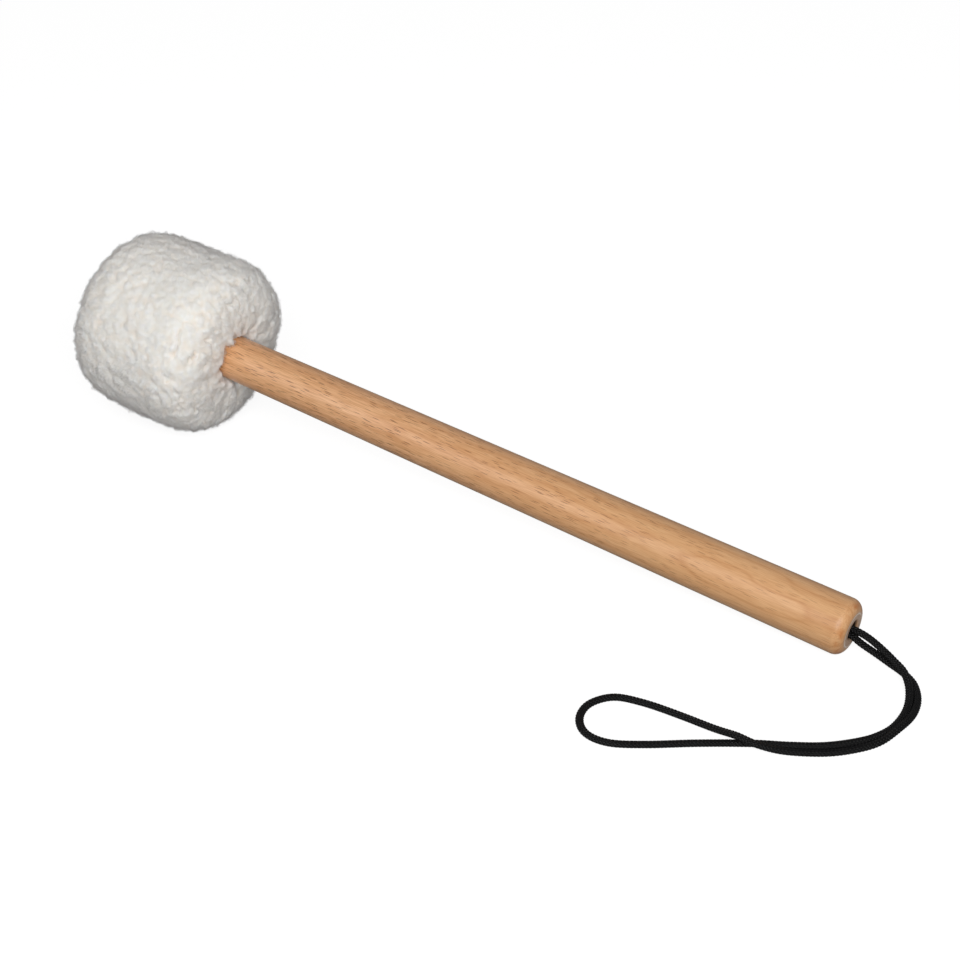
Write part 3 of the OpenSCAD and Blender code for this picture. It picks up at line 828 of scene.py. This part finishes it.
crossings = add_node(braid, "ShaderNodeMath", {0: turns, 1: given["Carriers"]}, operation="MULTIPLY")
wave_angle = add_node(braid, "ShaderNodeMath", {0: crossings, 1: TURN}, operation="MULTIPLY")
lifted = add_node(braid, "ShaderNodeMath", {0: wave_angle}, operation="COSINE")
for factor in (hand, given["Lift"]):
    lifted = add_node(braid, "ShaderNodeMath", {0: lifted, 1: factor}, operation="MULTIPLY")
strand_room = add_node(
    braid, "ShaderNodeMath", {0: given["Strand thick"], 1: 0.5, 2: given["Lift"]}, operation="MULTIPLY_ADD")
reaches = []
for size, way, operation in (("Wide", flat_way, "COSINE"), ("Thick", thick_way, "SINE")):
    half = add_node(braid, "ShaderNodeMath", {0: given[size], 1: 0.5}, operation="MULTIPLY")
    inner = add_node(braid, "ShaderNodeMath", {0: half, 1: strand_room}, operation="SUBTRACT")
    reach = add_node(braid, "ShaderNodeMath", {0: inner, 1: lifted}, operation="ADD")
    share = add_node(braid, "ShaderNodeMath", {0: angle}, operation=operation)
    distance = add_node(braid, "ShaderNodeMath", {0: reach, 1: share}, operation="MULTIPLY")
    reaches.append(add_node(braid, "ShaderNodeVectorMath", {0: way, "Scale": distance}, operation="SCALE"))
away = add_node(braid, "ShaderNodeVectorMath", {0: reaches[0], 1: reaches[1]}, operation="ADD")
moved = add_node(braid, "GeometryNodeSetPosition", {0: bundles, "Offset": away})
faced = add_node(braid, "GeometryNodeSetCurveNormal", {"Curve": moved, "Normal": away}, mode="FREE")
strand_line = add_node(
    braid, "GeometryNodeCurvePrimitiveCircle", {"Resolution": strand_sides, "Radius": 0.5})
across = add_node(braid, "GeometryNodeSplineParameter")
marked = add_node(
    braid, "GeometryNodeStoreNamedAttribute", {0: strand_line, "Name": "across", "Value": across},
    data_type="FLOAT", domain="POINT")
core_line = add_node(
    braid, "GeometryNodeCurvePrimitiveCircle", {"Resolution": core_sides, "Radius": core_r})
core_run = add_node(braid, "GeometryNodeResampleCurve", {"Curve": laid, "Count": core_steps}, mode="COUNT")
joined = add_node(braid, "GeometryNodeJoinGeometry")
for line, edge, sizes in (
    (faced, marked, ("Strand thick", "Strand wide")), (core_run, core_line, ("Wide", "Thick")),
):
    scale = add_node(braid, "ShaderNodeCombineXYZ", {0: given[sizes[0]], 1: given[sizes[1]], 2: 1.0})
    edge = add_node(braid, "GeometryNodeTransform", {0: edge, "Scale": scale})
    tube = add_node(
        braid, "GeometryNodeCurveToMesh", {"Curve": line, "Profile Curve": edge, "Fill Caps": True})
    braid.links.new(tube, joined.node.inputs[0])
end_tree(braid, given, joined)

# Waxed thread is off-white, with a faint gloss from the wax.
waxed_thread = filament("waxed sewing thread", 0.5, "d3cec0", "efece2", 0.4)
tip_start = fleece_t + tip_len - thread_d - tip_turns * thread_pitch
neck_start = collar_end + thread_d / 2 + thread_gap
for name, node, hem_r, start, turns in (
    ("tip_gathering_thread", "tip_thread", tip_r, tip_start, tip_turns),
    ("neck_gathering_thread", "neck_thread", collar_r, neck_start, neck_turns),
):
    wound_r = hem_r + thread_d / 2 + thread_gap
    angles = np.linspace(0, turns * TURN, turn_steps * turns + 1).tolist()
    winding = [
        (start + thread_pitch * a / TURN, wound_r * math.sin(a), -wound_r * math.cos(a)) for a in angles]
    thread_guide = guide_curve(name + "_guide", [axis_frame @ Vector(p) for p in winding])
    thread = grown(name, thread_guide, braid, {**thread_braid, "Material": waxed_thread})
    bpy.data.objects.remove(thread_guide)
    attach(thread, "root")
    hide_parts(node)

# Wrist cord
# About 470 mm of soft black polyester braid, 3 mm thick and a little flat, doubled into a loop.
# Twelve bundles of filament cross over and under each other, and both ends are wedged in the butt.
cord_d = 3 * MM
cord_braid = {
    "Lay": 9 * MM, "Wide": 3.58 * MM, "Thick": 2.9 * MM, "Strand wide": 1.15 * MM, "Strand thick": 0.5 * MM,
    "Lift": 0.15 * MM, "Step": 0.3 * MM, "Carriers": 6.0,
}
upper_end_up, lower_end_up = 0.66 * MM, -2.42 * MM
end_depths = (28 * MM, 14 * MM, 2 * MM)
mouth = axis_frame @ Vector((overall_len, 0, 0))
route_steps = 12
loop_route = [
    (6, -0.4, 11.8), (12.6, -0.8, 9.2), (19.4, -2, 6.2), (26.4, -5.6, 4.6), (32, -12.6, 2.6),
    (35.6, -23, 1.6), (35.8, -35.2, 1.5), (32.6, -45.4, 2), (27, -54.2, 2.8), (18, -62.6, 2.9),
    (6.6, -69.2, 2.6), (-7, -75, 1.6), (-25, -86.2, 1.5), (-42, -98, 1.5), (-55, -105, 1.5),
    (-65.6, -104.8, 1.5), (-72.4, -98, 1.5), (-73.6, -88.4, 1.5), (-67.6, -79.4, 1.5), (-56, -76, 1.5),
    (-40, -75, 1.5), (-24, -75.4, 2), (-13, -77.2, 4.4), (-4, -77.4, 4.2), (5.9, -73.1, 2.2),
    (19.1, -65.4, 1.7), (28.4, -57.1, 1.7), (35, -47.9, 1.9), (38.4, -37, 2.9), (39.1, -25.6, 1.9),
    (36.9, -15.6, 1.6), (31.8, -7.4, 1.7), (25.4, -2.8, 1.8), (18, -1.4, 3.3), (11.3, -1.6, 6),
    (5, -1.4, 8),
]
route = [
    *[axis_frame @ Vector((overall_len - depth, 0, upper_end_up)) for depth in end_depths],
    *[Vector((mouth.x + x * MM, y * MM, z * MM)) for x, y, z in loop_route],
    *[axis_frame @ Vector((overall_len - depth, 0, lower_end_up)) for depth in reversed(end_depths)],
]


def smooth_line(points, steps):
    """Smooth curve through points, with some steps from each one to the next."""
    line = []
    for i in range(len(points) - 1):
        a, b, c, d = (points[min(max(i + n, 0), len(points) - 1)] for n in (-1, 0, 1, 2))
        for u in (n / steps for n in range(steps)):
            line.append(b + u * (c - a) / 2 + u * u * (a - 2.5 * b + 2 * c - d / 2)
                        + u ** 3 * (1.5 * (b - c) + (d - a) / 2))
    return [*line, points[-1]]


cord_line = [Vector((p.x, p.y, max(p.z, cord_d / 2))) for p in smooth_line(route, route_steps)]
cord_guide = guide_curve("cord_guide", cord_line)

# Black polyester filament: near black, with the dull shine of fine parallel threads along each bundle.
polyester = filament("black polyester braid", 0.42, "050506", "0c0c0d", 0.2)
wrist_cord = grown("wrist_cord_braid", cord_guide, braid, {**cord_braid, "Material": polyester})
bpy.data.objects.remove(cord_guide)
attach(wrist_cord, "root")
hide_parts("wrist_cord")

# Cord wedge
# A slip of raw beech with a half-round back, tapped into the cord hole above both cord ends.
# It jams them against the bottom of the hole, and stops short of the mouth.
refinished("cord_wedge", raw_beech)

# Stage
# A plain pale table top, a soft box beside the camera and a second panel for the gloss, as in a studio.
# The table and the far wall show white to the camera, and the table still takes the beater's soft shadow.
table_half = 3.0
glossy_share = 0.05
paper_glow, sky_level = 0.87, 0.28
lamp_distance = 1.5
soft_box_shift = Vector((0.0336, 0.0216, 0.02))
panel_drop = Vector((0, 0, -0.16))


def seen_white(tree):
    """How far a background shows white: fully to the camera and through glass, and a little in gloss."""
    rays = add_node(tree, "ShaderNodeLightPath").node.outputs
    seen = add_node(
        tree, "ShaderNodeMath", {0: rays["Is Glossy Ray"], 1: glossy_share, 2: rays["Is Camera Ray"]},
        operation="MULTIPLY_ADD")
    return add_node(
        tree, "ShaderNodeMath", {0: seen, 1: rays["Is Transmission Ray"]}, operation="ADD", use_clamp=True)


table_mesh = bpy.data.meshes.new("table_top")
table_mesh.from_pydata(
    [(-table_half, -table_half, 0), (table_half, -table_half, 0), (table_half, table_half, 0),
     (-table_half, table_half, 0)], [], [(0, 1, 2, 3)])
table_top = bpy.data.objects.new("table_top", table_mesh)
bpy.context.scene.collection.objects.link(table_top)

# Matt paper has no shine and takes a soft shadow.
paper, tree, shader = new_material("matt white paper", {
    "Roughness": 0.9, "Base Color": linear("8c8c8c"), "Specular IOR Level": 0.0,
    "Emission Color": linear("ffffff")})
glow = add_node(tree, "ShaderNodeMath", {0: seen_white(tree), 1: paper_glow}, operation="MULTIPLY")
tree.links.new(glow, shader.inputs["Emission Strength"])
table_mesh.materials.append(paper)

world = bpy.data.worlds.new("studio")
bpy.context.scene.world = world
world.use_nodes = True
tree = world.node_tree
sky = tree.nodes["Background"]
sky.inputs["Color"].default_value = linear("ffffff")
level = add_node(tree, "ShaderNodeMapRange", {0: seen_white(tree), 3: sky_level, 4: 1.0})
tree.links.new(level, sky.inputs["Strength"])

# The second panel stands where the lacquer mirrors it to the camera, so a soft band of light runs along the
# handle. It shows in what is shiny only.
soft_box_way = view_back + soft_box_shift
panel_way = view_back - 2 * view_back.dot(axis) * axis + panel_drop
for name, way, wide, high, watts in (
    ("soft_box", soft_box_way, 1.2, 0.9, 19), ("gloss_panel", panel_way, 0.9, 0.9, 6.5),
):
    light = bpy.data.lights.new(name, "AREA")
    light.shape = "RECTANGLE"
    light.size, light.size_y = wide, high
    light.energy = watts
    lamp = bpy.data.objects.new(name, light)
    lamp.location = view_target + lamp_distance * way.normalized()
    lamp.rotation_euler = way.to_track_quat("Z", "Y").to_euler()
    lamp.visible_diffuse = name == "soft_box"
    bpy.context.scene.collection.objects.link(lamp)
bpy.context.scene.view_settings.view_transform = "Standard"
